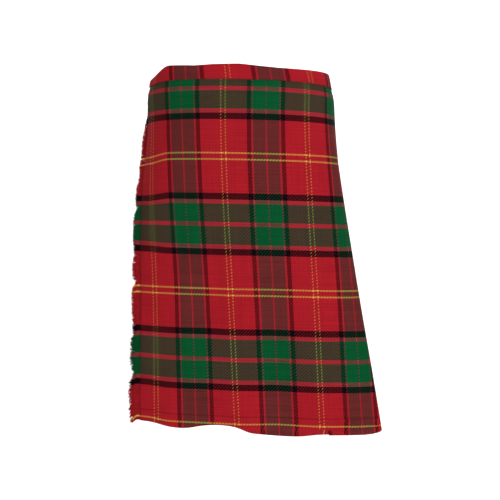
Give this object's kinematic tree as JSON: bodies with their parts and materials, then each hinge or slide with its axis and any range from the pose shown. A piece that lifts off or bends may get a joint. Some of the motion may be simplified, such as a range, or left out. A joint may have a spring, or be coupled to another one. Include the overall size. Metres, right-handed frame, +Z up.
{
  "type": "scottish kilt, worn and hollow",
  "caption": "Wrap-over knee-length kilt in red, green and black tartan, knife-pleated round the back, with a fringed front apron and buckled straps at one side.",
  "frame": {"origin": "middle of the waist opening at the top edge of the kilt, where the wearer holds it up", "axes": "+Z up through the waist, front apron faces -Y, wearer's left is +X and wearer's right is -X"},
  "size_m": [0.4263, 0.2778, 0.6211],
  "materials": {
    "tartan": "soft wool twill, matt",
    "fringe": "loose teased yarn, matt",
    "leather": "satin black strap",
    "steel": "polished nickel plate"
  },
  "bodies": {
    "root": {"over_apron": "tartan", "pleated_back": "tartan", "under_apron": "tartan", "waistband": "tartan", "apron_fringe": "fringe", "waist_strap": "leather", "waist_buckle_tab": "leather", "waist_buckle": "steel", "waist_buckle_prong": "steel", "hip_strap": "leather", "hip_buckle_tab": "leather", "hip_buckle": "steel", "hip_buckle_prong": "steel"}
  },
  "joints": []
}
